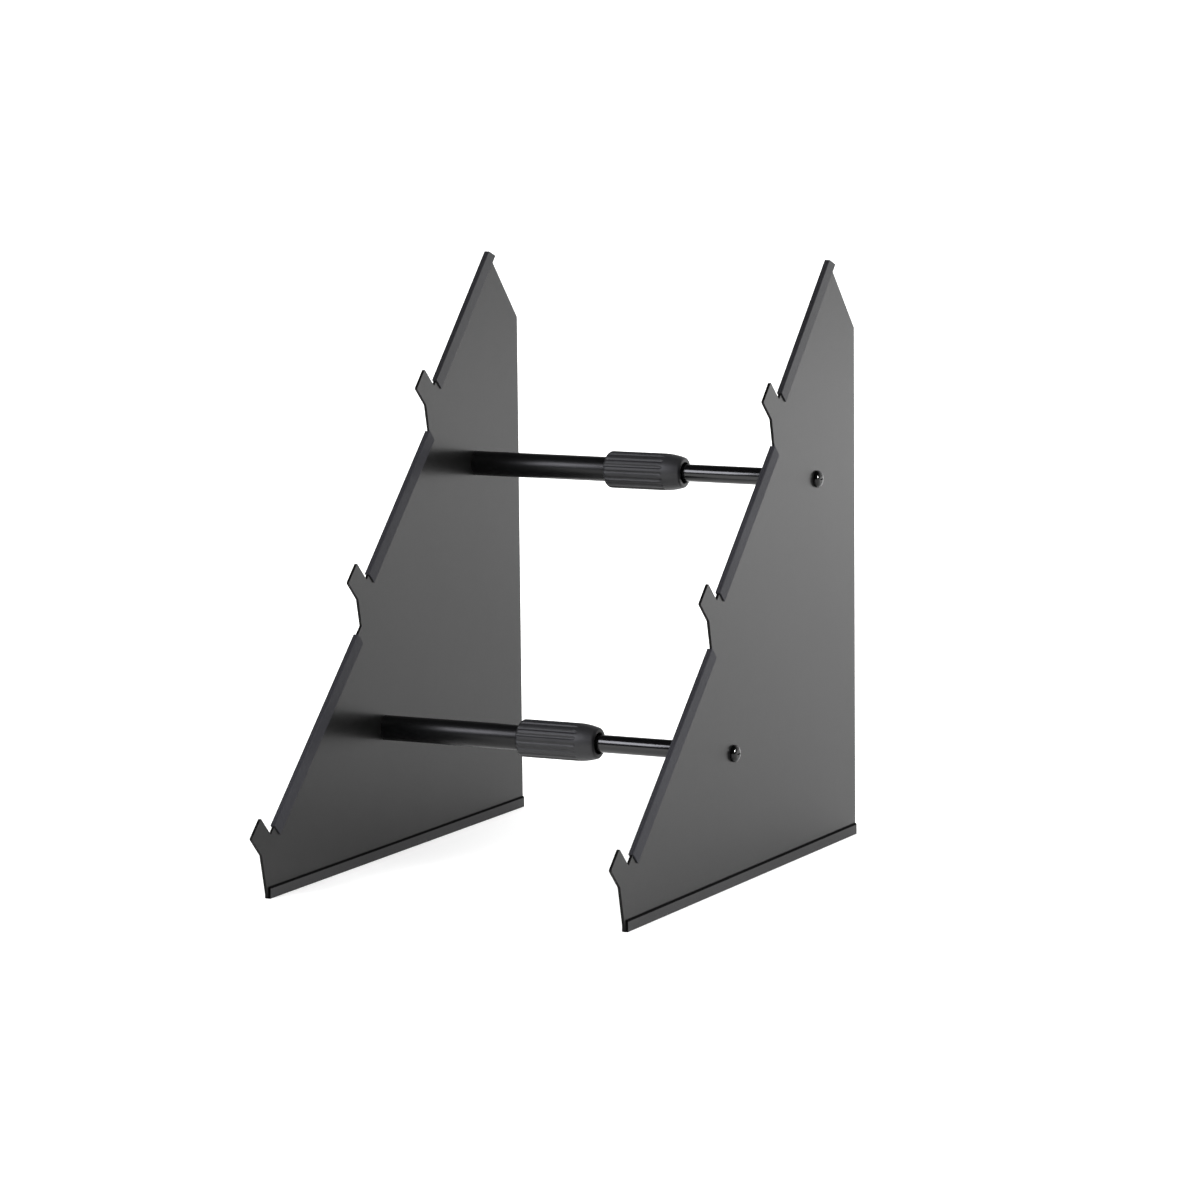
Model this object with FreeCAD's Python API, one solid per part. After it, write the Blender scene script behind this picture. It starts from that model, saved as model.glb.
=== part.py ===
import FreeCAD, Part
import math
import os

# Three-tier desktop instrument stand: two hooked side plates joined by two
# telescoping spreader tubes. All lengths are millimetres, all angles degrees.
# X runs across the stand, -Y is the front with the hooks, Z is up, and the
# origin is on the table under the middle of the stand.

# Side plates
SHEET = 2.5                    # thickness of the sheet
PLATE_SPACING = 325.0          # between the middles of the two plates
FRONT_LEAN = 13.0              # forward lean of the short front edges
FOOT_RISE = 37.0               # front edge below the lowest hook
RISER = 23.5                   # front edge between a slope and the next hook
HOOK_UNDERSIDE = 22.5
HOOK_FACE = 21.5
HOOK_LEDGE = 22.5
HOOK_TIP_RADIUS = 1.5
NOTCH_RADIUS = 0.6
REAR_EDGE_Y = 452.0            # measured from the foot's front corner
REAR_TOP_Z = 439.0             # top end of the upright rear edge
TIERS = ("lower", "middle", "upper")
SLOPE_ANGLES = {"lower": 44.0, "middle": 45.0, "upper": 46.3}
SLOPE_LENGTHS = {"lower": 217.0, "middle": 161.0, "upper": 148.5}
SCREW_HOLE_RADIUS = 3.25
SPREADERS = {"lower": (203.5, 109.0), "upper": (372.5, 317.2)}

# Ribbed rubber trims on the slopes
TRIM_WALL = 1.3
TRIM_LEG = 1.15
TRIM_LEG_DEPTH = 10.7
TRIM_GROOVE_WIDTH = 0.7
TRIM_GROOVE_DEPTH = 0.45
TRIM_GROOVE_OFFSET = 0.95
TRIM_CORNER_RADIUS = 0.8
TRIM_TOP_SKEW = 5.0            # how far an upper trim's rear corner runs past its front one
TRIM_SPANS = {                 # start and end of each trim, along the slope from its notch
    ("left", "lower"): (8.0, 207.0),
    ("left", "middle"): (5.0, 160.4),
    ("left", "upper"): (5.0, 148.8),
    ("right", "lower"): (10.0, 215.9),
    ("right", "middle"): (7.0, 160.4),
    ("right", "upper"): (5.5, 148.8),
}

# Base channels under the plates
CHANNEL_FLOOR = 1.4
CHANNEL_WALL = 1.5
CHANNEL_HEIGHT = 9.9
CHANNEL_CORNER_RADIUS = 0.7
CHANNEL_FRONT_GAP = 2.0        # behind the plate's front corner
CHANNEL_REAR_GAP = 0.5         # in front of the plate's rear edge

# Telescoping tubes
OUTER_TUBE_RADIUS = 10.65
OUTER_TUBE_BORE = 9.45
OUTER_TUBE_END_X = 5.0
INNER_TUBE_RADIUS = 7.5
INNER_TUBE_BORE = 6.5
INNER_TUBE_END_X = -25.0
RUNNING_GAP = 0.08             # radial gap of the parts that guide the inner tube

# Guide bush on the hidden end of the inner tube
GUIDE_LENGTH = 11.7
GUIDE_CAP = 1.0
GUIDE_SPIGOT = 8.0

# Threaded bushing on the mouth of the outer tube
BUSHING_START_X = -20.0
BUSHING_RADIUS = 12.8
BUSHING_LIP = 5.0

# Split collet that closes on the inner tube
COLLET_START_X = 10.2
COLLET_LENGTH = 18.0
COLLET_BIG_RADIUS = 12.0
COLLET_SMALL_RADIUS = 9.5
COLLET_SLOT_WIDTH = 1.4
COLLET_SLOT_LENGTH = 13.0
COLLET_SLOTS = 3               # each runs right across and makes two gaps

# Clutch grip
GRIP_START_X = -31.5
GRIP_END_X = 40.5
GRIP_RADIUS = 16.0
GRIP_FLUTES = 18
GRIP_FLUTE_RADIUS = 2.1
GRIP_FLUTE_DEPTH = 0.85
GRIP_FLUTES_END_X = 25.5
GRIP_DOME_START_X = 20.5
GRIP_NOSE_ROUNDING = 2.2
GRIP_NOSE_RADIUS = 11.2        # outside of the flat rim round the mouth
GRIP_MOUTH_RADIUS = 9.2
GRIP_MOUTH_DEPTH = 8.0
GRIP_END_ROUNDING = 3.5
GRIP_SLEEVE_BORE = 11.05
GRIP_THREAD_BORE = 13.1
GRIP_THREAD_START_X = -22.0
GRIP_THREAD_END_X = 10.7
GRIP_CONE_RADIUS = 12.6

# Tube end plugs, threaded inserts and pan-head screws
PLUG_LENGTH = 17.5
PLUG_SETBACK = 0.3
INSERT_RADIUS = 4.2
INSERT_LENGTH = 14.0
SCREW_RADIUS = 3.0
SCREW_SHANK = 16.0
SCREW_TIP_CHAMFER = 0.8
SCREW_HEAD_RADIUS = 7.25
SCREW_HEAD_HEIGHT = 4.8
SCREW_HEAD_RIM = 2.8
RECESS_REACH = 3.1
RECESS_ARM_WIDTH = 1.15
RECESS_DEPTH = 2.9
RECESS_BOTTOM_RADIUS = 1.3

INNER_FACE_X = (PLATE_SPACING - SHEET) / 2
OUTER_FACE_X = (PLATE_SPACING + SHEET) / 2
SIDES = {"left": -1, "right": 1}

X_AXIS = FreeCAD.Vector(1, 0, 0)
FULL_TURN = 360.0


def outline_plan():
    """Corners (y, z, radius) of a side plate, and each slope's notch point.

    The walk starts at the foot's front corner, climbs the hooked front edge
    and comes back down the upright rear edge.
    """
    lean = math.radians(FRONT_LEAN)
    climb = (-math.sin(lean), math.cos(lean))
    y, z = 0.0, 0.0
    corners = [(y, z, 0.0)]
    notches = {}
    rise = FOOT_RISE
    for tier in TIERS:
        angle = math.radians(SLOPE_ANGLES[tier])
        along = (math.cos(angle), math.sin(angle))
        outward = (-math.sin(angle), math.cos(angle))
        steps = (
            (climb, rise, 0.0),
            (outward, HOOK_UNDERSIDE, HOOK_TIP_RADIUS),
            (along, HOOK_FACE, HOOK_TIP_RADIUS),
            (outward, -HOOK_LEDGE, NOTCH_RADIUS),
        )
        for direction, length, radius in steps:
            y += direction[0] * length
            z += direction[1] * length
            corners.append((y, z, radius))
        notches[tier] = (y, z)
        y += along[0] * SLOPE_LENGTHS[tier]
        z += along[1] * SLOPE_LENGTHS[tier]
        corners.append((y, z, 0.0))
        rise = RISER
    corners.append((REAR_EDGE_Y, REAR_TOP_Z, 0.0))
    corners.append((REAR_EDGE_Y, 0.0, 0.0))
    return corners, notches


def rounded_face(corners, to_space):
    """Flat face through (u, v, radius) corners, with true arcs where a radius is given."""
    count = len(corners)
    spans = []
    for i in range(count):
        u, v, radius = corners[i]
        corner = FreeCAD.Vector(u, v, 0)
        back = FreeCAD.Vector(corners[i - 1][0], corners[i - 1][1], 0) - corner
        ahead = FreeCAD.Vector(corners[(i + 1) % count][0], corners[(i + 1) % count][1], 0) - corner
        if radius == 0:
            spans.append((corner, None, corner))
            continue
        half_angle = back.getAngle(ahead) / 2
        back.normalize()
        ahead.normalize()
        bisector = back + ahead
        bisector.normalize()
        tangent_length = radius / math.tan(half_angle)
        middle = corner + bisector * (radius / math.sin(half_angle) - radius)
        spans.append((corner + back * tangent_length, middle, corner + ahead * tangent_length))
    edges = []
    for i in range(count):
        entry, middle, leave = spans[i]
        if middle is not None:
            edges.append(Part.Arc(to_space(entry), to_space(middle), to_space(leave)).toShape())
        edges.append(Part.makeLine(to_space(leave), to_space(spans[(i + 1) % count][0])))
    return Part.Face(Part.Wire(edges))


def in_side_view(point):
    """Drawing plane seen from the side: u is Y and v is Z."""
    return FreeCAD.Vector(0, point.x, point.y)


def in_front_view(point):
    """Drawing plane seen from the front: u is X and v is Z."""
    return FreeCAD.Vector(point.x, 0, point.y)


def about_x(corners):
    """Solid turned about the X axis from (x, radius, corner radius) points."""
    return rounded_face(corners, in_front_view).revolve(FreeCAD.Vector(), X_AXIS, FULL_TURN)


def ring(start_x, end_x, bore, radius):
    """Plain tube along X."""
    return about_x([(start_x, bore, 0), (end_x, bore, 0), (end_x, radius, 0), (start_x, radius, 0)])


def side_plate():
    """One hooked side plate, centred on X = 0."""
    corners, _ = outline_plan()
    face = rounded_face(corners, in_side_view)
    face.translate(FreeCAD.Vector(-SHEET / 2, 0, 0))
    plate = face.extrude(FreeCAD.Vector(SHEET, 0, 0))
    for y, z in SPREADERS.values():
        start = FreeCAD.Vector(-SHEET, y, z)
        plate = plate.cut(Part.makeCylinder(SCREW_HOLE_RADIUS, 2 * SHEET, start, X_AXIS))
    return plate


def slope_trim(start, end, top_skew):
    """U-shaped rubber trim, lying along Y with its ribbed wall facing up.

    The slope's edge is the line Y from the origin. A positive top_skew lets the
    rear corner of the top end run past the front one.
    """
    half = SHEET / 2 + TRIM_LEG
    left = -TRIM_GROOVE_OFFSET - TRIM_GROOVE_WIDTH / 2
    right = -TRIM_GROOVE_OFFSET + TRIM_GROOVE_WIDTH / 2
    groove_floor = TRIM_WALL - TRIM_GROOVE_DEPTH
    section = [
        (-half, -TRIM_LEG_DEPTH, 0),
        (-half, TRIM_WALL, TRIM_CORNER_RADIUS),
        (left, TRIM_WALL, 0), (left, groove_floor, 0), (right, groove_floor, 0), (right, TRIM_WALL, 0),
        (-right, TRIM_WALL, 0), (-right, groove_floor, 0), (-left, groove_floor, 0), (-left, TRIM_WALL, 0),
        (half, TRIM_WALL, TRIM_CORNER_RADIUS),
        (half, -TRIM_LEG_DEPTH, 0),
        (SHEET / 2, -TRIM_LEG_DEPTH, 0), (SHEET / 2, 0, 0),
        (-SHEET / 2, 0, 0), (-SHEET / 2, -TRIM_LEG_DEPTH, 0),
    ]
    face = rounded_face(section, in_front_view)
    face.translate(FreeCAD.Vector(0, start, 0))
    trim = face.extrude(FreeCAD.Vector(0, end + top_skew - start, 0))
    if top_skew > 0:
        wedge = [
            (end, TRIM_WALL, 0),
            (end + top_skew, -TRIM_LEG_DEPTH, 0),
            (end + 2 * top_skew, -TRIM_LEG_DEPTH, 0),
            (end + 2 * top_skew, TRIM_WALL, 0),
        ]
        cutter = rounded_face(wedge, in_side_view)
        cutter.translate(FreeCAD.Vector(-2 * half, 0, 0))
        trim = trim.cut(cutter.extrude(FreeCAD.Vector(4 * half, 0, 0)))
    return trim


def base_channel():
    """U-shaped channel that the plate's lower edge stands in, centred on X = 0."""
    half = SHEET / 2 + CHANNEL_WALL
    rim = CHANNEL_HEIGHT - CHANNEL_FLOOR
    section = [
        (-half, -CHANNEL_FLOOR, CHANNEL_CORNER_RADIUS),
        (half, -CHANNEL_FLOOR, CHANNEL_CORNER_RADIUS),
        (half, rim, CHANNEL_CORNER_RADIUS), (SHEET / 2, rim, 0),
        (SHEET / 2, 0, 0), (-SHEET / 2, 0, 0),
        (-SHEET / 2, rim, 0), (-half, rim, CHANNEL_CORNER_RADIUS),
    ]
    face = rounded_face(section, in_front_view)
    face.translate(FreeCAD.Vector(0, CHANNEL_FRONT_GAP, 0))
    length = REAR_EDGE_Y - CHANNEL_REAR_GAP - CHANNEL_FRONT_GAP
    return face.extrude(FreeCAD.Vector(0, length, 0))


def outer_tube():
    """Wide tube on the left plate, on the X axis."""
    return ring(-INNER_FACE_X, OUTER_TUBE_END_X, OUTER_TUBE_BORE, OUTER_TUBE_RADIUS)


def inner_tube():
    """Narrow tube on the right plate, on the X axis."""
    return ring(INNER_TUBE_END_X, INNER_FACE_X, INNER_TUBE_BORE, INNER_TUBE_RADIUS)


def guide_bush():
    """Plastic cap on the inner tube's hidden end, sliding in the outer tube."""
    start = INNER_TUBE_END_X - GUIDE_CAP
    sliding_radius = OUTER_TUBE_BORE - RUNNING_GAP
    return about_x([
        (start, 0, 0),
        (INNER_TUBE_END_X + GUIDE_SPIGOT, 0, 0),
        (INNER_TUBE_END_X + GUIDE_SPIGOT, INNER_TUBE_BORE, 0),
        (INNER_TUBE_END_X, INNER_TUBE_BORE, 0),
        (INNER_TUBE_END_X, INNER_TUBE_RADIUS, 0),
        (start + GUIDE_LENGTH, INNER_TUBE_RADIUS, 0),
        (start + GUIDE_LENGTH, sliding_radius, 0),
        (start, sliding_radius, 0),
    ])


def clutch_bushing():
    """Threaded sleeve on the outer tube's mouth, with a lip round the inner tube."""
    end = OUTER_TUBE_END_X + BUSHING_LIP
    return about_x([
        (BUSHING_START_X, OUTER_TUBE_RADIUS, 0),
        (OUTER_TUBE_END_X, OUTER_TUBE_RADIUS, 0),
        (OUTER_TUBE_END_X, INNER_TUBE_RADIUS + RUNNING_GAP, 0),
        (end, INNER_TUBE_RADIUS + RUNNING_GAP, 0),
        (end, BUSHING_RADIUS, 0),
        (BUSHING_START_X, BUSHING_RADIUS, 0),
    ])


def clutch_collet():
    """Tapered split ring that the clutch grip squeezes onto the inner tube."""
    end = COLLET_START_X + COLLET_LENGTH
    bore = INNER_TUBE_RADIUS + RUNNING_GAP
    collet = about_x([
        (COLLET_START_X, bore, 0), (end, bore, 0),
        (end, COLLET_SMALL_RADIUS, 0), (COLLET_START_X, COLLET_BIG_RADIUS, 0),
    ])
    for i in range(COLLET_SLOTS):
        slot = Part.makeBox(COLLET_SLOT_LENGTH, COLLET_SLOT_WIDTH, 4 * COLLET_BIG_RADIUS)
        corner = (end - COLLET_SLOT_LENGTH, -COLLET_SLOT_WIDTH / 2, -2 * COLLET_BIG_RADIUS)
        slot.translate(FreeCAD.Vector(*corner))
        slot.rotate(FreeCAD.Vector(), X_AXIS, i * FULL_TURN / (2 * COLLET_SLOTS))
        collet = collet.cut(slot)
    return collet


def grip_profile():
    """Half section of the clutch grip in X and radius.

    The dome starts parallel to the axis and runs tangentially into the rounded nose.
    """
    end_centre = (GRIP_START_X + GRIP_END_ROUNDING, GRIP_RADIUS - GRIP_END_ROUNDING)
    end_face = [(GRIP_START_X, GRIP_SLEEVE_BORE), (GRIP_START_X, end_centre[1])]
    barrel = [(end_centre[0], GRIP_RADIUS), (GRIP_DOME_START_X, GRIP_RADIUS)]
    inside = [
        (GRIP_END_X, GRIP_NOSE_RADIUS),
        (GRIP_END_X, GRIP_MOUTH_RADIUS), (GRIP_END_X - GRIP_MOUTH_DEPTH, GRIP_MOUTH_RADIUS),
        (GRIP_THREAD_END_X, GRIP_CONE_RADIUS), (GRIP_THREAD_END_X, GRIP_THREAD_BORE),
        (GRIP_THREAD_START_X, GRIP_THREAD_BORE), (GRIP_THREAD_START_X, GRIP_SLEEVE_BORE),
        (GRIP_START_X, GRIP_SLEEVE_BORE),
    ]
    reach = GRIP_END_X - GRIP_NOSE_ROUNDING - GRIP_DOME_START_X
    drop = GRIP_RADIUS - GRIP_NOSE_RADIUS
    dome_radius = (reach ** 2 + drop ** 2 - GRIP_NOSE_ROUNDING ** 2) / (2 * (drop - GRIP_NOSE_ROUNDING))
    dome_sweep = math.asin(reach / (dome_radius - GRIP_NOSE_ROUNDING))
    dome_centre = (GRIP_DOME_START_X, GRIP_RADIUS - dome_radius)
    nose_centre = (GRIP_END_X - GRIP_NOSE_ROUNDING, GRIP_NOSE_RADIUS)
    edges = straight_run(end_face)
    edges.append(swept_arc(end_centre, GRIP_END_ROUNDING, -math.pi / 2, 0))
    edges += straight_run(barrel)
    edges.append(swept_arc(dome_centre, dome_radius, 0, dome_sweep))
    edges.append(swept_arc(nose_centre, GRIP_NOSE_ROUNDING, dome_sweep, math.pi / 2))
    return Part.Face(Part.Wire(edges + straight_run(inside)))


def swept_arc(centre, radius, start_angle, end_angle):
    """Arc round a centre in X and radius; angles in radians from straight up, towards +X."""
    places = []
    for angle in (start_angle, (start_angle + end_angle) / 2, end_angle):
        x = centre[0] + radius * math.sin(angle)
        places.append(FreeCAD.Vector(x, 0, centre[1] + radius * math.cos(angle)))
    return Part.Arc(*places).toShape()


def straight_run(points):
    """Straight edges through (x, radius) points."""
    places = [FreeCAD.Vector(x, 0, radius) for x, radius in points]
    return [Part.makeLine(a, b) for a, b in zip(places, places[1:])]


def clutch_grip():
    """Fluted plastic grip with a domed nose and an open mouth."""
    grip = grip_profile().revolve(FreeCAD.Vector(), X_AXIS, FULL_TURN)
    axis_radius = GRIP_RADIUS + GRIP_FLUTE_RADIUS - GRIP_FLUTE_DEPTH
    start = FreeCAD.Vector(GRIP_START_X - GRIP_FLUTE_RADIUS, 0, axis_radius)
    end = FreeCAD.Vector(GRIP_FLUTES_END_X - GRIP_FLUTE_RADIUS, 0, axis_radius)
    flute = Part.makeCylinder(GRIP_FLUTE_RADIUS, (end - start).Length, start, X_AXIS)
    flute = flute.fuse(Part.makeSphere(GRIP_FLUTE_RADIUS, end)).removeSplitter()
    for i in range(GRIP_FLUTES):
        cutter = flute.copy()
        cutter.rotate(FreeCAD.Vector(), X_AXIS, i * FULL_TURN / GRIP_FLUTES)
        grip = grip.cut(cutter)
    return grip


def end_plug(radius):
    """Plastic plug in a tube's right-hand end; its seat for the insert opens to +X."""
    mouth = INNER_FACE_X - PLUG_SETBACK
    return about_x([
        (mouth - PLUG_LENGTH, SCREW_RADIUS, 0), (mouth - INSERT_LENGTH, SCREW_RADIUS, 0),
        (mouth - INSERT_LENGTH, INSERT_RADIUS, 0), (mouth, INSERT_RADIUS, 0),
        (mouth, radius, 0), (mouth - PLUG_LENGTH, radius, 0),
    ])


def threaded_insert():
    """Brass insert moulded into a plug at a right-hand tube end."""
    mouth = INNER_FACE_X - PLUG_SETBACK
    return ring(mouth - INSERT_LENGTH, mouth, SCREW_RADIUS, INSERT_RADIUS)


def plate_screw():
    """Pan-head screw through the right plate, with a cross recess in its domed head."""
    tip = OUTER_FACE_X - SCREW_SHANK
    rim_x = OUTER_FACE_X + SCREW_HEAD_RIM
    crown_x = OUTER_FACE_X + SCREW_HEAD_HEIGHT
    rise = SCREW_HEAD_HEIGHT - SCREW_HEAD_RIM
    dome_radius = (SCREW_HEAD_RADIUS ** 2 + rise ** 2) / (2 * rise)
    rim_angle = math.acos(SCREW_HEAD_RADIUS / dome_radius)
    edges = straight_run([
        (crown_x, 0), (tip, 0), (tip, SCREW_RADIUS - SCREW_TIP_CHAMFER),
        (tip + SCREW_TIP_CHAMFER, SCREW_RADIUS), (OUTER_FACE_X, SCREW_RADIUS),
        (OUTER_FACE_X, SCREW_HEAD_RADIUS), (rim_x, SCREW_HEAD_RADIUS),
    ])
    edges.append(swept_arc((crown_x - dome_radius, 0), dome_radius, rim_angle, math.pi / 2))
    screw = Part.Face(Part.Wire(edges)).revolve(FreeCAD.Vector(), X_AXIS, FULL_TURN)
    return screw.cut(cross_recess(crown_x))


def cross_recess(crown_x):
    """Tapered four-armed driver recess sunk from the head's crown."""
    bottom = FreeCAD.Vector(crown_x - RECESS_DEPTH, 0, 0)
    taper = Part.makeCone(RECESS_BOTTOM_RADIUS, RECESS_REACH, RECESS_DEPTH, bottom, X_AXIS)
    across = Part.makeBox(RECESS_DEPTH, 2 * RECESS_REACH, RECESS_ARM_WIDTH)
    across.translate(bottom - FreeCAD.Vector(0, RECESS_REACH, RECESS_ARM_WIDTH / 2))
    upright = across.copy()
    upright.rotate(bottom, X_AXIS, FULL_TURN / 4)
    return across.fuse(upright).common(taper)


def for_side(shape, side):
    """A right-hand shape as it is, or its mirror image for the left."""
    if SIDES[side] > 0:
        return shape
    return shape.mirror(FreeCAD.Vector(), X_AXIS)


def build_nodes():
    """Every sub-part in its own place, by node name, measured from the foot's front corner."""
    _, notches = outline_plan()
    nodes = {}
    for side, sign in SIDES.items():
        plate_middle = FreeCAD.Vector(sign * PLATE_SPACING / 2, 0, 0)
        nodes[side + "_side_plate"] = side_plate().translated(plate_middle)
        nodes[side + "_base_channel"] = base_channel().translated(plate_middle)
        for tier in TIERS:
            start, end = TRIM_SPANS[(side, tier)]
            top_skew = TRIM_TOP_SKEW if tier == "upper" else 0.0
            trim = slope_trim(start, end, top_skew)
            trim.rotate(FreeCAD.Vector(), X_AXIS, SLOPE_ANGLES[tier])
            notch_y, notch_z = notches[tier]
            trim.translate(plate_middle + FreeCAD.Vector(0, notch_y, notch_z))
            nodes["%s_%s_slope_trim" % (side, tier)] = trim
    for level, (y, z) in SPREADERS.items():
        axis_place = FreeCAD.Vector(0, y, z)
        on_axis = {
            "outer_tube": outer_tube(),
            "inner_tube": inner_tube(),
            "guide_bush": guide_bush(),
            "clutch_bushing": clutch_bushing(),
            "clutch_collet": clutch_collet(),
            "clutch_grip": clutch_grip(),
        }
        for side, bore in (("left", OUTER_TUBE_BORE), ("right", INNER_TUBE_BORE)):
            on_axis[side + "_end_plug"] = for_side(end_plug(bore), side)
            on_axis[side + "_threaded_insert"] = for_side(threaded_insert(), side)
            on_axis[side + "_plate_screw"] = for_side(plate_screw(), side)
        for name, shape in on_axis.items():
            nodes[level + "_" + name] = shape.translated(axis_place)
    return nodes


def main():
    """Centre the stand on the origin and write one STEP file per sub-part."""
    nodes = build_nodes()
    whole = Part.makeCompound(list(nodes.values())).BoundBox
    to_origin = FreeCAD.Vector(-whole.Center.x, -whole.Center.y, -whole.ZMin)
    os.makedirs("parts", exist_ok=True)
    for name, shape in nodes.items():
        shape.translated(to_origin).exportStep("parts/" + name + ".step")


main()
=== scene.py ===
"""Looks of a three-tier desktop instrument stand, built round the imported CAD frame.

Lengths are given in millimetres in the row frame and turned into metres where
meshes are made. X runs from the left plate to the right one, -Y is the front.
"""
import math

import bmesh
import bpy
from mathutils import Matrix, Vector


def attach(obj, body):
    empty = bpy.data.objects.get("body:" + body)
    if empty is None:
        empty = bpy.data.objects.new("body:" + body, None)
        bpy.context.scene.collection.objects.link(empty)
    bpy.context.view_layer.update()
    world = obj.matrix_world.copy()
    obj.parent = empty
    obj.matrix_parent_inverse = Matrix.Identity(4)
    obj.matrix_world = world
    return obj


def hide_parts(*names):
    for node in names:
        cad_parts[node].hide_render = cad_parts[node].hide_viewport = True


MM = 0.001

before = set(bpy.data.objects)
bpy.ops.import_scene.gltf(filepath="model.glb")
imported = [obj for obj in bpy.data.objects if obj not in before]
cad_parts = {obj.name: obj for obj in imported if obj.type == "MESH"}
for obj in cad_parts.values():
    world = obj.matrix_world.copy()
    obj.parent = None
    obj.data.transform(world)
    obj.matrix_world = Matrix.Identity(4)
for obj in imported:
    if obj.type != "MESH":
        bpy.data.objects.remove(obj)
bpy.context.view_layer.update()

# Shape of the stand, in millimetres and degrees, as in the CAD
SHEET = 2.5
PLATE_X = 162.5
FOOT = (-214.33, 1.4)          # Y and Z of the plates' front lower corner
FRONT_LEAN = 13.0
FOOT_RISE = 37.0
RISER = 23.5
HOOK = (22.5, 21.5, 22.5)      # underside, face and ledge
TIP_RADIUS = 1.5
NOTCH_RADIUS = 0.6
REAR_Y = 452.0                 # this and the next are measured from the foot
REAR_TOP_Z = 439.0
TIERS = ("lower", "middle", "upper")
SLOPE_ANGLES = {"lower": 44.0, "middle": 45.0, "upper": 46.3}
SLOPE_LENGTHS = {"lower": 217.0, "middle": 161.0, "upper": 148.5}
SPREADERS = {"lower": (203.5, 109.0), "upper": (372.5, 317.2)}
SCREW_HOLE_RADIUS = 3.25
TRIM_SPANS = {
    ("left", "lower"): (8.0, 207.0),
    ("left", "middle"): (5.0, 160.4),
    ("left", "upper"): (5.0, 148.8),
    ("right", "lower"): (10.0, 215.9),
    ("right", "middle"): (7.0, 160.4),
    ("right", "upper"): (5.5, 148.8),
}
SIDES = {"left": -1, "right": 1}
INNER_FACE = PLATE_X - SHEET / 2
OUTER_FACE = PLATE_X + SHEET / 2

CLEARANCE = 0.02               # keeps the visual pieces just inside the CAD's outer box
STATIONS = 24                  # spans along a rubber strip, for even shading


# ---------------------------------------------------------------- materials

CLOUD_SCALE = 9.0              # noise scales, per metre
COARSE_SCALE = 160.0
RING_SCALE = 900.0
FINE_DEPTH = 0.0001            # bump distances, in metres
COARSE_DEPTH = 0.0004


def node_tree(name):
    """New material with its node tree and Principled shader."""
    mat = bpy.data.materials.new(name)
    mat.use_nodes = True
    tree = mat.node_tree
    shader = tree.nodes["Principled BSDF"]
    return mat, tree, shader


def add(tree, kind, **values):
    """Adds a node and sets its properties or, where it has none by that name, its inputs."""
    node = tree.nodes.new(kind)
    for key, value in values.items():
        if hasattr(node, key):
            setattr(node, key, value)
        else:
            node.inputs[key.replace("_", " ")].default_value = value
    return node


def grain(tree, scale, detail, stretch=(1, 1, 1)):
    """Noise in the row frame's own metres; stretch squeezes it along an axis."""
    place = add(tree, "ShaderNodeTexCoord")
    mapping = add(tree, "ShaderNodeMapping")
    mapping.inputs["Scale"].default_value = stretch
    noise = add(tree, "ShaderNodeTexNoise", Scale=scale, Detail=detail)
    tree.links.new(place.outputs["Object"], mapping.inputs["Vector"])
    tree.links.new(mapping.outputs["Vector"], noise.inputs["Vector"])
    return noise.outputs["Fac"]


def spread(tree, source, low, high, from_low=0.3, from_high=0.7):
    """Maps a noise value onto a range of numbers."""
    node = add(tree, "ShaderNodeMapRange")
    node.inputs["From Min"].default_value = from_low
    node.inputs["From Max"].default_value = from_high
    node.inputs["To Min"].default_value = low
    node.inputs["To Max"].default_value = high
    tree.links.new(source, node.inputs["Value"])
    return node.outputs["Result"]


def tint(tree, source, dark, light, low=0.3, high=0.7):
    """Colour between dark and light along a noise value."""
    ramp = add(tree, "ShaderNodeValToRGB")
    ramp.color_ramp.elements[0].position = low
    ramp.color_ramp.elements[1].position = high
    ramp.color_ramp.elements[0].color = (*dark, 1)
    ramp.color_ramp.elements[1].color = (*light, 1)
    tree.links.new(source, ramp.inputs["Fac"])
    return ramp.outputs["Color"]


def bump(tree, source, strength, distance, below=None):
    """Bump from a height value, on top of another bump where one is given."""
    node = add(tree, "ShaderNodeBump")
    node.inputs["Strength"].default_value = strength
    node.inputs["Distance"].default_value = distance
    tree.links.new(source, node.inputs["Height"])
    if below is not None:
        tree.links.new(below, node.inputs["Normal"])
    return node.outputs["Normal"]


def coated(name, dark, light, rough, fine_scale, fine_strength, ior=1.5,
           stretch=(1, 1, 1), coarse_strength=0.03, coat=None):
    """Painted, moulded or rubber surface: cloudy colour, fine grain and a soft unevenness.

    rough is the range of roughness, and coat a clear layer's roughness and IOR.
    """
    mat, tree, shader = node_tree(name)
    cloud = grain(tree, CLOUD_SCALE, 4, stretch)
    fine = grain(tree, fine_scale, 3, stretch)
    coarse = grain(tree, COARSE_SCALE, 2, stretch)
    tree.links.new(tint(tree, cloud, dark, light), shader.inputs["Base Color"])
    tree.links.new(spread(tree, fine, *rough), shader.inputs["Roughness"])
    under = bump(tree, coarse, coarse_strength, COARSE_DEPTH)
    tree.links.new(bump(tree, fine, fine_strength, FINE_DEPTH, under), shader.inputs["Normal"])
    shader.inputs["Specular IOR Level"].default_value = 0.5
    shader.inputs["IOR"].default_value = ior
    if coat:
        shader.inputs["Coat Weight"].default_value = 1.0
        shader.inputs["Coat Roughness"].default_value, shader.inputs["Coat IOR"].default_value = coat
        tree.links.new(under, shader.inputs["Coat Normal"])
    return mat


def turned_metal(name, dark, light, rough):
    """Bare turned metal with fine rings round the X axis."""
    mat, tree, shader = node_tree(name)
    rings = grain(tree, RING_SCALE, 2, (6, 0.4, 0.4))
    tree.links.new(tint(tree, rings, dark, light), shader.inputs["Base Color"])
    tree.links.new(spread(tree, rings, *rough), shader.inputs["Roughness"])
    tree.links.new(bump(tree, rings, 0.15, FINE_DEPTH), shader.inputs["Normal"])
    shader.inputs["Metallic"].default_value = 1.0
    return mat


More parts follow.
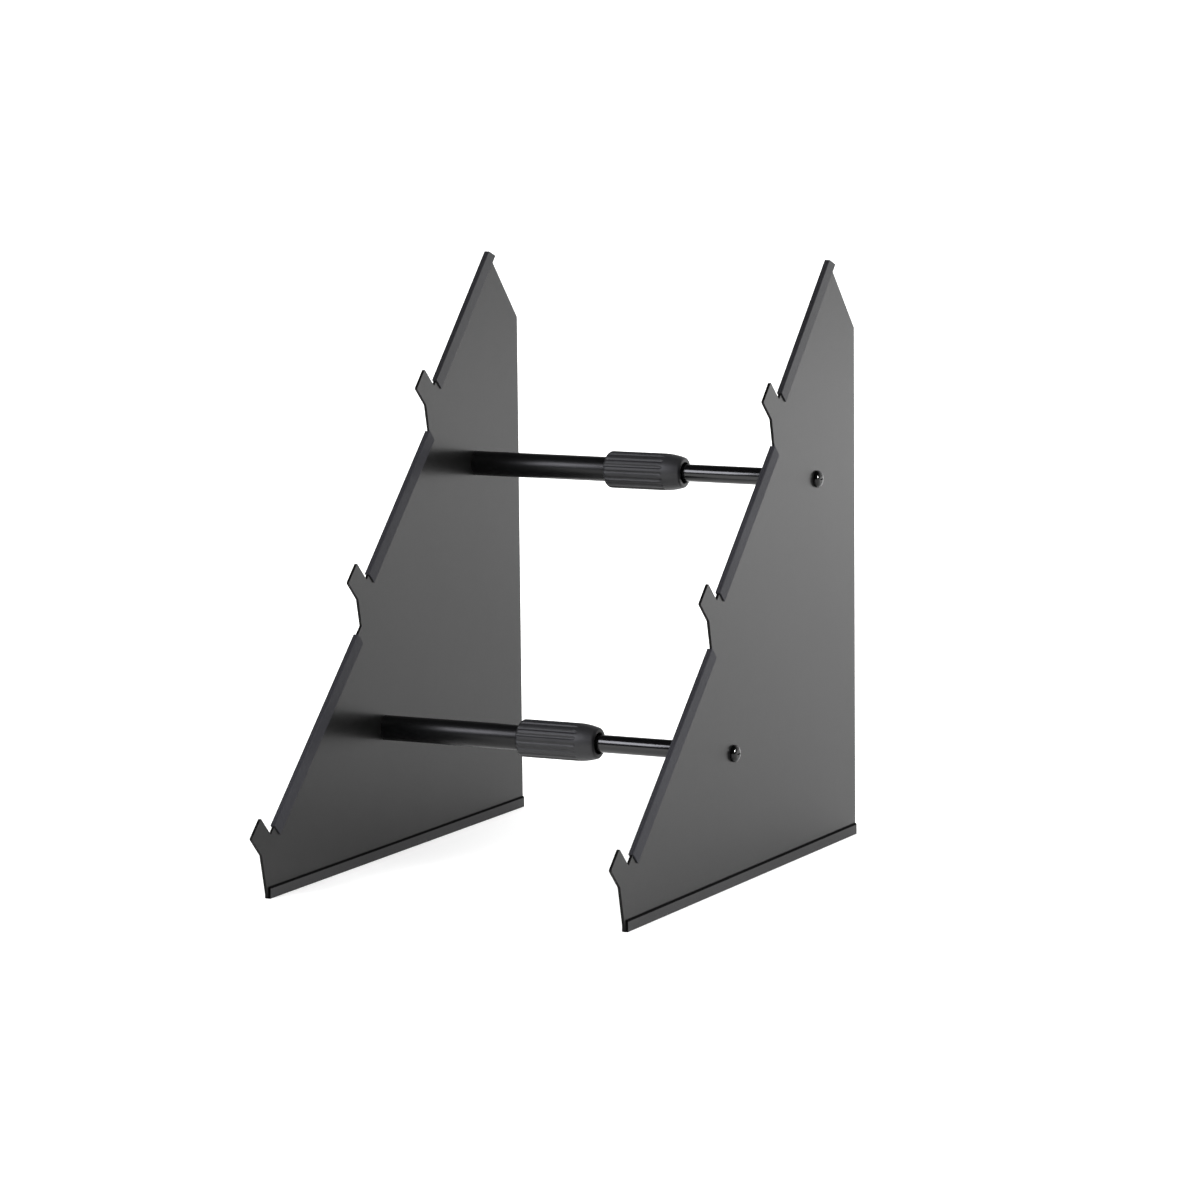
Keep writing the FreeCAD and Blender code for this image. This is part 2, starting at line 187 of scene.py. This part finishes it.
# The IORs are set for how strongly each black surface reflects the studio
plate_coat = coated("plate_powder_coat", (0.003, 0.003, 0.003), (0.005, 0.005, 0.005),
                    (0.31, 0.35), 1100, 0.05, ior=1.15, coat=(0.2, 1.135))
# Same powder coat as the faces, made darker for the plate's rim: painted shade
plate_rim_shade = coated("plate_rim_painted_shade", (0.0015, 0.0015, 0.0015), (0.004, 0.004, 0.004),
                    (0.30, 0.40), 900, 0.1, ior=1.18)
trim_rubber = coated("trim_rubber", (0.020, 0.020, 0.0235), (0.029, 0.029, 0.034),
                     (0.40, 0.50), 1500, 0.25, ior=1.13)
# Same rubber as the other trims, darker in colour and more reflective for the top tier: painted shade
# for how light falls there
upper_trim_rubber_painted_shade = coated("upper_trim_rubber_painted_shade", (0.012, 0.012, 0.014), (0.019, 0.019, 0.022),
                           (0.38, 0.46), 1500, 0.25, ior=1.22)
channel_rubber = coated("channel_rubber", (0.011, 0.011, 0.0115), (0.018, 0.018, 0.019),
                        (0.45, 0.55), 1400, 0.25, ior=1.27)
# Same rubber as the channel, made darker for its rim and ends: painted shade
channel_edge_shade = coated("channel_edge_painted_shade", (0.0015, 0.0015, 0.0015), (0.003, 0.003, 0.003),
                     (0.55, 0.65), 1400, 0.25, ior=1.05)
ALONG_TUBE = (0.25, 1, 1)      # draws the tubes' grain out along X
outer_tube_coat = coated("outer_tube_coat", (0.0016, 0.0016, 0.0018), (0.0026, 0.0026, 0.0028),
                         (0.32, 0.36), 700, 0.01, ior=1.36, stretch=ALONG_TUBE, coarse_strength=0.004)
inner_tube_coat = coated("inner_tube_coat", (0.0016, 0.0016, 0.0018), (0.0026, 0.0026, 0.0028),
                         (0.15, 0.19), 700, 0.02, stretch=ALONG_TUBE, coarse_strength=0.008)
grip_plastic = coated("grip_plastic", (0.009, 0.009, 0.0102), (0.014, 0.014, 0.0156),
                      (0.46, 0.54), 2200, 0.2, ior=1.47)
screw_coat = coated("screw_coat", (0.001, 0.001, 0.001), (0.002, 0.002, 0.002),
                    (0.13, 0.17), 1500, 0.02, ior=1.33, coarse_strength=0.005)
dark_nylon = coated("dark_nylon", (0.018, 0.018, 0.018), (0.030, 0.030, 0.030),
                    (0.45, 0.6), 1800, 0.2)
bushing_metal = turned_metal("bushing_aluminium", (0.45, 0.45, 0.46), (0.62, 0.62, 0.63),
                             (0.25, 0.4))
insert_brass = turned_metal("insert_brass", (0.55, 0.40, 0.18), (0.78, 0.60, 0.32), (0.25, 0.38))


# ---------------------------------------------------------------- mesh tools

MERGE = 0.001                  # points closer than this are one, in millimetres


def mesh_object(name, bm, mats, sharp_degrees=32.0):
    """Object from a bmesh in metres, smooth except across sharp edges."""
    bmesh.ops.recalc_face_normals(bm, faces=bm.faces)
    mesh = bpy.data.meshes.new(name)
    bm.to_mesh(mesh)
    bm.free()
    for mat in mats:
        mesh.materials.append(mat)
    mesh.shade_smooth()
    mesh.set_sharp_from_angle(angle=math.radians(sharp_degrees))
    obj = bpy.data.objects.new(name, mesh)
    bpy.context.scene.collection.objects.link(obj)
    return obj


def evaluated_mesh(obj):
    """New mesh of the object as it is with its modifiers or curve settings worked in."""
    bpy.context.view_layer.update()
    graph = bpy.context.evaluated_depsgraph_get()
    return bpy.data.meshes.new_from_object(obj.evaluated_get(graph))


def applied(obj):
    """The object with its modifiers worked into its mesh."""
    mesh = evaluated_mesh(obj)
    obj.modifiers.clear()
    obj.data = mesh
    return obj


def flat_faces_kept(obj):
    """Gives large flat faces the say over the shading of the rounded edges beside them."""
    weigh = obj.modifiers.new("flat faces", "WEIGHTED_NORMAL")
    weigh.keep_sharp = True
    return applied(obj)


def softened(obj, width):
    """Rounds the object's edges that turn by more than 60 degrees, and keeps its flat faces flat."""
    bevel = obj.modifiers.new("edges", "BEVEL")
    bevel.width = width * MM
    bevel.segments = 2
    bevel.limit_method = "ANGLE"
    bevel.angle_limit = math.radians(60)
    bevel.miter_outer = "MITER_ARC"
    applied(obj)
    obj.data.shade_smooth()
    obj.data.set_sharp_from_angle(angle=math.radians(50))
    return flat_faces_kept(obj)


def outline_plan():
    """Corners (y, z, radius) of a plate in the row frame, and each slope's notch point.

    The walk starts at the foot's front corner, climbs the hooked front edge and
    comes down at the back.
    """
    lean = math.radians(FRONT_LEAN)
    climb = (-math.sin(lean), math.cos(lean))
    y, z = FOOT
    corners = [(y, z, 0.0)]
    notches = {}
    rise = FOOT_RISE
    for tier in TIERS:
        angle = math.radians(SLOPE_ANGLES[tier])
        along = (math.cos(angle), math.sin(angle))
        outward = (-math.sin(angle), math.cos(angle))
        for way, length, radius in ((climb, rise, 0.0), (outward, HOOK[0], TIP_RADIUS),
                                    (along, HOOK[1], TIP_RADIUS), (outward, -HOOK[2], NOTCH_RADIUS)):
            y += way[0] * length
            z += way[1] * length
            corners.append((y, z, radius))
        notches[tier] = (y, z)
        y += along[0] * SLOPE_LENGTHS[tier]
        z += along[1] * SLOPE_LENGTHS[tier]
        corners.append((y, z, 0.0))
        rise = RISER
    rear = FOOT[0] + REAR_Y - CLEARANCE
    corners.append((rear, FOOT[1] + REAR_TOP_Z, 0.0))
    corners.append((rear, FOOT[1], 0.0))
    return corners, notches


def rounded(corners, steps=6):
    """Points of a closed outline, with arcs at the corners that have a radius."""
    points = []
    count = len(corners)
    for i in range(count):
        here = Vector(corners[i][:2])
        radius = corners[i][2]
        if radius == 0:
            points.append(here)
            continue
        back = (Vector(corners[i - 1][:2]) - here).normalized()
        ahead = (Vector(corners[(i + 1) % count][:2]) - here).normalized()
        half = back.angle(ahead) / 2
        centre = here + (back + ahead).normalized() * (radius / math.sin(half))
        start = here + back * (radius / math.tan(half)) - centre
        sweep = start.angle_signed(here + ahead * (radius / math.tan(half)) - centre)
        for k in range(steps + 1):
            turn = Matrix.Rotation(-sweep * k / steps, 2)
            points.append(centre + turn @ start)
    return points


def circle(centre, radius, count=48):
    """Points round a circle."""
    return [Vector((centre[0] + radius * math.cos(2 * math.pi * k / count),
                    centre[1] + radius * math.sin(2 * math.pi * k / count))) for k in range(count)]


def sheet_solid(name, outlines, thickness, rounding):
    """Flat sheet in the YZ plane with rounded edges, from an outline and its holes."""
    curve = bpy.data.curves.new(name, "CURVE")
    curve.dimensions = "2D"
    curve.fill_mode = "BOTH"
    curve.extrude = (thickness / 2 - rounding) * MM
    curve.bevel_depth = rounding * MM
    curve.bevel_resolution = 2
    curve.offset = -rounding * MM
    for points in outlines:
        spline = curve.splines.new("POLY")
        spline.points.add(len(points) - 1)
        for target, point in zip(spline.points, points):
            target.co = (point[0] * MM, point[1] * MM, 0, 1)
        spline.use_cyclic_u = True
    obj = bpy.data.objects.new(name, curve)
    bpy.context.scene.collection.objects.link(obj)
    mesh = evaluated_mesh(obj)
    bpy.data.objects.remove(obj)
    bm = bmesh.new()
    bm.from_mesh(mesh)
    bmesh.ops.remove_doubles(bm, verts=bm.verts, dist=2 * MERGE * MM)
    to_side_view = Matrix(((0, 0, 1, 0), (1, 0, 0, 0), (0, 1, 0, 0), (0, 0, 0, 1)))
    bmesh.ops.transform(bm, matrix=to_side_view, verts=bm.verts)
    return bm


def band(bm, here, following):
    """Quads between two closed rings of vertices."""
    count = len(here)
    for k in range(count):
        n = (k + 1) % count
        bm.faces.new((here[k], here[n], following[n], following[k]))


def lathe(profile, segments, radius_at=None):
    """Closed solid turned about the X axis from a loop of (x, radius) points in millimetres.

    radius_at(i, angle) can change the radius of the profile's point i at an angle.
    """
    bm = bmesh.new()
    rings = []
    for i, (x, radius) in enumerate(profile):
        ring = []
        for k in range(segments):
            angle = 2 * math.pi * k / segments
            r = radius_at(i, angle) if radius_at else radius
            ring.append(bm.verts.new((x * MM, r * math.cos(angle) * MM, r * math.sin(angle) * MM)))
        rings.append(ring)
    for here, following in zip(rings, rings[1:] + rings[:1]):
        band(bm, here, following)
    bmesh.ops.remove_doubles(bm, verts=bm.verts, dist=MERGE * MM)
    return bm


def through(sections):
    """Closed solid through sections that have the same number of points, in millimetres."""
    bm = bmesh.new()
    rings = [[bm.verts.new((x * MM, y * MM, z * MM)) for x, y, z in points] for points in sections]
    for here, following in zip(rings, rings[1:]):
        band(bm, here, following)
    bm.faces.new(rings[0])
    bm.faces.new(rings[-1])
    return bm


def finished(obj, node, body):
    """Hands a detailed piece over in place of its CAD node."""
    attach(obj, body)
    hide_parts(node)


# ---------------------------------------------------------------- side plates

PLATE_CORNERS, NOTCHES = outline_plan()
PLATE_EDGE_ROUNDING = 0.3


def plate(side):
    """Laser-cut side plate; its rim carries a darker copy of the faces' coat as painted shade."""
    node = side + "_side_plate"
    holes = [circle((FOOT[0] + y, FOOT[1] + z), SCREW_HOLE_RADIUS) for y, z in SPREADERS.values()]
    bm = sheet_solid(node, [rounded(PLATE_CORNERS)] + holes, SHEET, PLATE_EDGE_ROUNDING)
    bmesh.ops.translate(bm, verts=bm.verts, vec=(SIDES[side] * PLATE_X * MM, 0, 0))
    bmesh.ops.recalc_face_normals(bm, faces=bm.faces)
    # Faces across the sheet keep the coat; the rim faces get the darker copy, painted shade
    for face in bm.faces:
        face.material_index = 0 if abs(face.normal.x) > 0.9 else 1
    obj = mesh_object(node + "_sheet", bm, [plate_coat, plate_rim_shade], 50)
    finished(flat_faces_kept(obj), node, side + "_side")


for side in SIDES:
    plate(side)


# ---------------------------------------------------------------- rubber trims and channels

TRIM_WALL = 1.3
TRIM_LEG = 1.15
TRIM_DEPTH = 10.7
TRIM_SKEW = 5.0                # how far an upper trim's rear corner runs past its front one
TRIM_CORNER = 0.5
TRIM_SOFTNESS = 0.12           # bevel of the trim's sharp edges
GROOVE_OFFSET = 0.75           # two grooves in the front wall, with sloping sides
GROOVE_HALF_WIDTH = 0.3
GROOVE_DEPTH = 0.45
GROOVE_DRAFT = 0.1


def trim_section():
    """U section of a slope trim: u across the plate, v outward from its edge."""
    half = SHEET / 2 + TRIM_LEG
    floor_v = TRIM_WALL - GROOVE_DEPTH
    steps = 5
    outer = [(-half, -TRIM_DEPTH)]
    for k in range(steps + 1):
        a = math.pi / 2 * k / steps
        outer.append((-half + TRIM_CORNER * (1 - math.cos(a)),
                      TRIM_WALL - TRIM_CORNER * (1 - math.sin(a))))
    grooves = []
    for middle in (-GROOVE_OFFSET, GROOVE_OFFSET):
        left, right = middle - GROOVE_HALF_WIDTH, middle + GROOVE_HALF_WIDTH
        grooves += [(left, TRIM_WALL), (left + GROOVE_DRAFT, floor_v),
                    (right - GROOVE_DRAFT, floor_v), (right, TRIM_WALL)]
    far = [(-u, v) for u, v in reversed(outer)]
    inner = [(SHEET / 2, -TRIM_DEPTH), (SHEET / 2, 0), (-SHEET / 2, 0), (-SHEET / 2, -TRIM_DEPTH)]
    return outer + grooves + far + inner


def slope_trim(side, tier):
    """Grooved rubber trim pushed over a slope's edge."""
    node = "%s_%s_slope_trim" % (side, tier)
    start, end = TRIM_SPANS[(side, tier)]
    skew = TRIM_SKEW if tier == "upper" else 0.0
    angle = math.radians(SLOPE_ANGLES[tier])
    notch_y, notch_z = NOTCHES[tier]
    middle = SIDES[side] * PLATE_X

    def station(share):
        """The section at a share of the trim's length, with the skewed end worked in."""
        points = []
        for u, v in trim_section():
            top = end + skew * (TRIM_WALL - v) / (TRIM_WALL + TRIM_DEPTH)
            s = start + (top - start) * share
            points.append((middle + u, notch_y + s * math.cos(angle) - v * math.sin(angle),
                           notch_z + s * math.sin(angle) + v * math.cos(angle)))
        return points

    bm = through([station(k / STATIONS) for k in range(STATIONS + 1)])
    # The top tier's trims get the darker copy of the rubber: painted shade
    rubber = upper_trim_rubber_painted_shade if tier == "upper" else trim_rubber
    obj = softened(mesh_object(node + "_strip", bm, [rubber]), TRIM_SOFTNESS)
    finished(obj, node, side + "_side")


CHANNEL_WALL = 1.5
CHANNEL_HEIGHT = 9.9
CHANNEL_RIM = 1.5              # height of the rounded rim, which gets the darker rubber as painted shade
CHANNEL_FRONT_GAP = 2.0        # behind the plate's front corner
CHANNEL_REAR_GAP = 0.5         # in front of the plate's rear edge
CHANNEL_SOFTNESS = 0.2         # bevel of the channel's sharp edges
BOTTOM_ROUNDING = ((0.7, 0), (0.2, 0.2), (0, 0.7))                       # in from the side, up
RIM_ROUNDING = ((0, CHANNEL_RIM), (0.25, 0.6), (0.6, 0.15), (0.9, 0))    # in, down from the top
MOUTH_ROUNDING = ((0.35, 0.2), (0, 1.0))                                 # out from the slot, down


def channel_section():
    """U section of a base channel, from its lower left corner on."""
    half = SHEET / 2 + CHANNEL_WALL
    right = [(half - across, up) for across, up in BOTTOM_ROUNDING]
    right += [(half - across, CHANNEL_HEIGHT - down) for across, down in RIM_ROUNDING]
    right += [(SHEET / 2 + across, CHANNEL_HEIGHT - down) for across, down in MOUTH_ROUNDING]
    right.append((SHEET / 2, FOOT[1]))
    left = [(-u, v) for u, v in reversed(right)]
    bottom = len(BOTTOM_ROUNDING)
    return left[-bottom:] + right + left[:-bottom]


def base_channel(side):
    """Rubber channel that the plate stands in, with softly rounded rims; its rims and end faces get a
    darker copy of the rubber as painted shade.
    """
    node = side + "_base_channel"
    front = FOOT[0] + CHANNEL_FRONT_GAP
    length = REAR_Y - CHANNEL_REAR_GAP - CHANNEL_FRONT_GAP
    middle = SIDES[side] * PLATE_X
    bm = through([[(middle + u, front + length * k / STATIONS, v) for u, v in channel_section()]
                  for k in range(STATIONS + 1)])
    obj = softened(mesh_object(node + "_strip", bm, [channel_rubber, channel_edge_shade]), CHANNEL_SOFTNESS)
    rim_z = (CHANNEL_HEIGHT - CHANNEL_RIM) * MM
    # The rim and the end faces take the darker copy of the rubber: painted shade
    for face in obj.data.polygons:
        face.material_index = 1 if face.center.z > rim_z or abs(face.normal.y) > 0.7 else 0
    finished(obj, node, side + "_side")


for side in SIDES:
    base_channel(side)
    for tier in TIERS:
        slope_trim(side, tier)


# ---------------------------------------------------------------- spreaders

def on_spreader(bm, level):
    """Moves a mesh built on the X axis onto a spreader's axis."""
    y, z = SPREADERS[level]
    bmesh.ops.translate(bm, verts=bm.verts, vec=(0, (FOOT[0] + y) * MM, (FOOT[1] + z) * MM))
    return bm


TUBE_ROUNDING = 0.3
OUTER_TUBE_BORE, OUTER_TUBE_RADIUS, OUTER_TUBE_END = 9.45, 10.65, 5.0
INNER_TUBE_BORE, INNER_TUBE_RADIUS, INNER_TUBE_END = 6.5, 7.5, -25.0


def tube_profile(start, end, bore, radius):
    """Loop of a tube's wall with rounded end edges."""
    rounding = TUBE_ROUNDING
    half_way = 0.3 * rounding      # how far a rounding's middle lies inside the sharp corner
    return [
        (start, bore), (end, bore), (end, radius - rounding),
        (end - half_way, radius - half_way), (end - rounding, radius),
        (start + rounding, radius), (start + half_way, radius - half_way),
        (start, radius - rounding),
    ]


def tubes(level):
    """Outer tube on the left plate and inner tube on the right one."""
    profile = tube_profile(-INNER_FACE, OUTER_TUBE_END, OUTER_TUBE_BORE, OUTER_TUBE_RADIUS)
    obj = mesh_object(level + "_outer_tube_wall", on_spreader(lathe(profile, 128), level),
                      [outer_tube_coat], 40)
    finished(obj, level + "_outer_tube", "left_side")
    profile = tube_profile(INNER_TUBE_END, INNER_FACE, INNER_TUBE_BORE, INNER_TUBE_RADIUS)
    obj = mesh_object(level + "_inner_tube_wall", on_spreader(lathe(profile, 112), level),
                      [inner_tube_coat], 40)
    finished(obj, level + "_inner_tube", "right_side")


GRIP_START, GRIP_END = -31.5, 40.5
GRIP_RADIUS = 16.0
FLUTES, FLUTE_RADIUS, FLUTE_DEPTH, FLUTES_END = 18, 2.1, 0.85, 25.5
FLUTE_SOFTNESS = 0.12          # rounds the ridges where a flute meets the barrel
DOME_START = 20.5
NOSE_ROUNDING, NOSE_RADIUS = 2.2, 11.2
END_ROUNDING = 3.5
MOUTH_RADIUS, MOUTH_CHAMFERED, MOUTH_CHAMFER, MOUTH_DEPTH = 9.2, 9.6, 0.4, 8.0
CONE_RADIUS = 12.6
THREAD_START, THREAD_END, THREAD_BORE = -22.0, 10.7, 13.1
SLEEVE_BORE = 11.05


def grip_profiles():
    """Outside and inside of the clutch grip as (x, radius) runs."""
    outside = []
    for k in range(8, -1, -1):
        a = math.pi / 2 * k / 8
        outside.append((GRIP_START + END_ROUNDING * (1 - math.sin(a)),
                        GRIP_RADIUS - END_ROUNDING * (1 - math.cos(a))))
    barrel_start = GRIP_START + END_ROUNDING
    for k in range(1, 61):
        outside.append((barrel_start + (DOME_START - barrel_start) * k / 60, GRIP_RADIUS))
    # The dome leaves the barrel smoothly and meets the nose's rounding smoothly
    reach = GRIP_END - NOSE_ROUNDING - DOME_START
    drop = GRIP_RADIUS - NOSE_RADIUS
    dome = (reach ** 2 + drop ** 2 - NOSE_ROUNDING ** 2) / (2 * (drop - NOSE_ROUNDING))
    sweep = math.asin(reach / (dome - NOSE_ROUNDING))
    for k in range(1, 25):
        a = sweep * k / 24
        outside.append((DOME_START + dome * math.sin(a), GRIP_RADIUS - dome * (1 - math.cos(a))))
    for k in range(1, 10):
        a = sweep + (math.pi / 2 - sweep) * k / 9
        outside.append((GRIP_END - NOSE_ROUNDING + NOSE_ROUNDING * math.sin(a),
                        NOSE_RADIUS + NOSE_ROUNDING * math.cos(a)))
    inside = [(GRIP_END, MOUTH_CHAMFERED), (GRIP_END - MOUTH_CHAMFER, MOUTH_RADIUS),
              (GRIP_END - MOUTH_DEPTH, MOUTH_RADIUS), (THREAD_END, CONE_RADIUS),
              (THREAD_END, THREAD_BORE), (THREAD_START, THREAD_BORE),
              (THREAD_START, SLEEVE_BORE), (GRIP_START, SLEEVE_BORE)]
    return outside, inside


def clutch_grip(level):
    """Fluted grip: round-bottomed flutes that run out before the domed nose."""
    node = level + "_clutch_grip"
    outside, inside = grip_profiles()
    profile = outside + inside
    run_out = FLUTES_END - FLUTE_RADIUS
    ring_radius = GRIP_RADIUS + FLUTE_RADIUS - FLUTE_DEPTH
    pitch = 2 * math.pi / FLUTES

    def radius_at(i, angle):
        x, body = profile[i]
        if i >= len(outside):
            return body
        cut = FLUTE_RADIUS
        if x > run_out:
            cut = math.sqrt(max(0.0, FLUTE_RADIUS ** 2 - (x - run_out) ** 2))
        off = (angle + pitch / 2) % pitch - pitch / 2
        side_step = ring_radius * math.sin(off)
        if abs(side_step) >= cut:
            return body
        flute = ring_radius * math.cos(off) - math.sqrt(cut ** 2 - side_step ** 2)
        blend = max(FLUTE_SOFTNESS - abs(body - flute), 0) / FLUTE_SOFTNESS
        return min(body, flute) - blend * blend * FLUTE_SOFTNESS / 4

    bm = on_spreader(lathe(profile, FLUTES * 16, radius_at), level)
    obj = mesh_object(node + "_moulding", bm, [grip_plastic], 40)
    finished(obj, node, level + "_clutch")


HEAD_RADIUS, HEAD_HEIGHT = 7.25, 4.8
HEAD_FULLNESS = 2.8            # 2 is an ellipse in profile, more is squarer
SHANK_RADIUS, SHANK, SHANK_CHAMFER = 3.0, 16.0, 0.8
RECESS_REACH, RECESS_ARM, RECESS_DEPTH, RECESS_FLOOR = 3.1, 1.15, 2.9, 1.3
RECESS_OVERSHOOT = 1.0         # how far the cutter stands out of the head


def recess_cutter():
    """Tapered four-armed star that is cut from the head of the right plate's screw."""
    top = OUTER_FACE + HEAD_HEIGHT + RECESS_OVERSHOOT
    bottom = OUTER_FACE + HEAD_HEIGHT - RECESS_DEPTH
    taper = (RECESS_REACH - RECESS_FLOOR) / RECESS_DEPTH
    plans = []
    for x in (bottom, top):
        reach = RECESS_FLOOR + taper * (x - bottom)
        arm = RECESS_ARM / 2 * (0.8 + 0.2 * (x - bottom) / (top - bottom))
        plan = []
        for k in range(4):
            turn = Matrix.Rotation(math.pi / 2 * k, 2)
            for point in ((reach, -arm), (reach, arm), (arm, arm)):
                plan.append((x, *(turn @ Vector(point))))
        plans.append(plan)
    return through(plans)


def plate_screw(level, side):
    """Pan-head screw with a cross recess, made for the right plate and mirrored for the left."""
    node = "%s_%s_plate_screw" % (level, side)
    crown = HEAD_HEIGHT - CLEARANCE
    tip = OUTER_FACE - SHANK
    profile = [(tip, 0), (tip, SHANK_RADIUS - SHANK_CHAMFER), (tip + SHANK_CHAMFER, SHANK_RADIUS),
               (OUTER_FACE, SHANK_RADIUS)]
    steps = 20
    for k in range(steps + 1):
        a = math.pi / 2 * k / steps
        profile.append((OUTER_FACE + crown * math.sin(a) ** (2 / HEAD_FULLNESS),
                        HEAD_RADIUS * max(math.cos(a), 0.0) ** (2 / HEAD_FULLNESS)))
    head = mesh_object(node + "_turning", lathe(profile, 96), [screw_coat], 30)
    cutter = mesh_object(node + "_cutter", recess_cutter(), [screw_coat], 30)
    cut = head.modifiers.new("recess", "BOOLEAN")
    cut.operation = "DIFFERENCE"
    cut.object = cutter
    cut.solver = "EXACT"
    applied(head)
    bpy.data.objects.remove(cutter)
    bm = bmesh.new()
    bm.from_mesh(head.data)
    if side == "left":
        bmesh.ops.transform(bm, matrix=Matrix.Diagonal((-1, 1, 1, 1)), verts=bm.verts)
        bmesh.ops.reverse_faces(bm, faces=bm.faces)
    on_spreader(bm, level)
    bm.to_mesh(head.data)
    bm.free()
    head.data.set_sharp_from_angle(angle=math.radians(30))
    finished(head, node, side + "_side")


for level in SPREADERS:
    tubes(level)
    clutch_grip(level)
    for side in SIDES:
        plate_screw(level, side)


# ---------------------------------------------------------------- hidden CAD nodes

HIDDEN = {
    "clutch_bushing": bushing_metal,
    "clutch_collet": dark_nylon,
    "guide_bush": dark_nylon,
    "left_end_plug": dark_nylon,
    "right_end_plug": dark_nylon,
    "left_threaded_insert": insert_brass,
    "right_threaded_insert": insert_brass,
}
for level in SPREADERS:
    for name, mat in HIDDEN.items():
        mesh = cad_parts["%s_%s" % (level, name)].data
        mesh.materials.clear()
        mesh.materials.append(mat)


# ---------------------------------------------------------------- studio

FLOOR_RADIUS = 80.0            # in metres, far enough to hide the horizon
FLOOR_GLOW = 0.2               # lightens the stand's shadow
STAND_MIDDLE = (0.0, 0.0, 0.25)


def floor():
    """Plain pale light table that reaches past the edge of the picture."""
    mat, tree, shader = node_tree("pale_floor")
    soft = grain(tree, 0.6, 3)
    tree.links.new(tint(tree, soft, (0.86, 0.86, 0.86), (0.90, 0.90, 0.90)), shader.inputs["Base Color"])
    tree.links.new(spread(tree, soft, 0.8, 0.9), shader.inputs["Roughness"])
    shader.inputs["Specular IOR Level"].default_value = 0.1
    shader.inputs["Emission Color"].default_value = (1, 1, 1, 1)
    shader.inputs["Emission Strength"].default_value = FLOOR_GLOW
    bm = bmesh.new()
    bmesh.ops.create_circle(bm, cap_ends=True, radius=FLOOR_RADIUS, segments=128)
    mesh_object("floor", bm, [mat])


def sky():
    """Studio surroundings: bright behind the stand, dark in front of it and overhead."""
    world = bpy.data.worlds.new("studio")
    world.use_nodes = True
    tree = world.node_tree
    background = tree.nodes["Background"]
    place = add(tree, "ShaderNodeTexCoord")
    facing = add(tree, "ShaderNodeVectorMath", operation="DOT_PRODUCT")
    facing.inputs[1].default_value = Vector((0.3, 0.95, 0.0)).normalized()
    tree.links.new(place.outputs["Generated"], facing.inputs[0])
    color = tint(tree, facing.outputs["Value"], (0.015, 0.015, 0.016), (1.0, 1.0, 1.0), 0.45, 0.9)
    tree.links.new(color, background.inputs["Color"])
    background.inputs["Strength"].default_value = 1.2
    bpy.context.scene.world = world


def lamp(name, kind, power, toward):
    """New light at the origin that shines away from a direction."""
    light = bpy.data.lights.new(name, kind)
    light.energy = power
    obj = bpy.data.objects.new(name, light)
    obj.rotation_mode = "QUATERNION"
    obj.rotation_quaternion = Vector(toward).to_track_quat("Z", "Y")
    bpy.context.scene.collection.objects.link(obj)
    return obj


def sun(name, toward, power, angle):
    """Wide far light from a direction, kept out of mirror reflections."""
    obj = lamp(name, "SUN", power, toward)
    obj.data.angle = math.radians(angle)
    obj.visible_glossy = False


def area(name, place, target, size, power):
    """Rectangular lamp that shines on a target and is not seen itself."""
    obj = lamp(name, "AREA", power, Vector(place) - Vector(target))
    obj.data.shape = "RECTANGLE"
    obj.data.size, obj.data.size_y = size
    obj.location = place
    obj.visible_camera = False
    return obj


def softbox(name, direction, distance, size, power, color=(1, 1, 1)):
    """Lamp that only shows as a reflection, set at a direction from the stand's middle."""
    place = Vector(STAND_MIDDLE) + Vector(direction).normalized() * distance
    obj = area(name, place, STAND_MIDDLE, size, power)
    obj.data.color = color
    obj.visible_diffuse = False


def flood(name, place, target, size, power):
    """Large lamp that lights a stretch of floor and is kept out of mirror reflections."""
    area(name, place, target, size, power).visible_glossy = False


# The photograph's camera, as matched to the plates' outlines
AZIMUTH, ELEVATION, ROLL = math.radians(26.611), math.radians(8.064), math.radians(-0.575)
CAMERA_PLACE = (1833.4, -3371.2 + FOOT[0], 796.0 + FOOT[1])
SENSOR_WIDTH = 36.0
LENS = 4880.4 / 1200 * SENSOR_WIDTH


def camera():
    """Camera at the product shot's viewing angle."""
    back = Vector((math.sin(AZIMUTH) * math.cos(ELEVATION), -math.cos(AZIMUTH) * math.cos(ELEVATION),
                   math.sin(ELEVATION)))
    level_right = Vector((math.cos(AZIMUTH), math.sin(AZIMUTH), 0))
    level_up = back.cross(level_right)
    right = level_right * math.cos(ROLL) + level_up * math.sin(ROLL)
    up = level_up * math.cos(ROLL) - level_right * math.sin(ROLL)
    data = bpy.data.cameras.new("camera")
    data.sensor_width = SENSOR_WIDTH
    data.lens = LENS
    data.clip_start, data.clip_end = 0.1, 200.0
    obj = bpy.data.objects.new("camera", data)
    axes = Matrix((right, up, back)).transposed().to_4x4()
    obj.matrix_world = Matrix.Translation(Vector(CAMERA_PLACE) * MM) @ axes
    bpy.context.scene.collection.objects.link(obj)
    bpy.context.scene.camera = obj


floor()
sky()
sun("overhead", (0.1, -0.1, 1.0), 4.2, 150)
sun("key", (-0.44, -0.70, 0.57), 1.5, 30)
# The left box is the bright streak along the tubes, the right one the dot on the screws' heads
softbox("front_left_box", (-0.443, -0.74, 0.50), 2.2, (1.1, 0.95), 33, (0.92, 0.92, 1.0))
softbox("right_box", (0.92, -0.10, 0.37), 2.4, (0.6, 0.6), 220)
# The plates reflect the floor far behind them, which the flood makes brighter for their upper parts
flood("rear_flood", (2.0, 3.4, 2.2), (2.0, 3.4, 0.0), (2.4, 2.4), 115)
camera()

view = bpy.context.scene.view_settings
view.view_transform = "Standard"
view.look = "None"
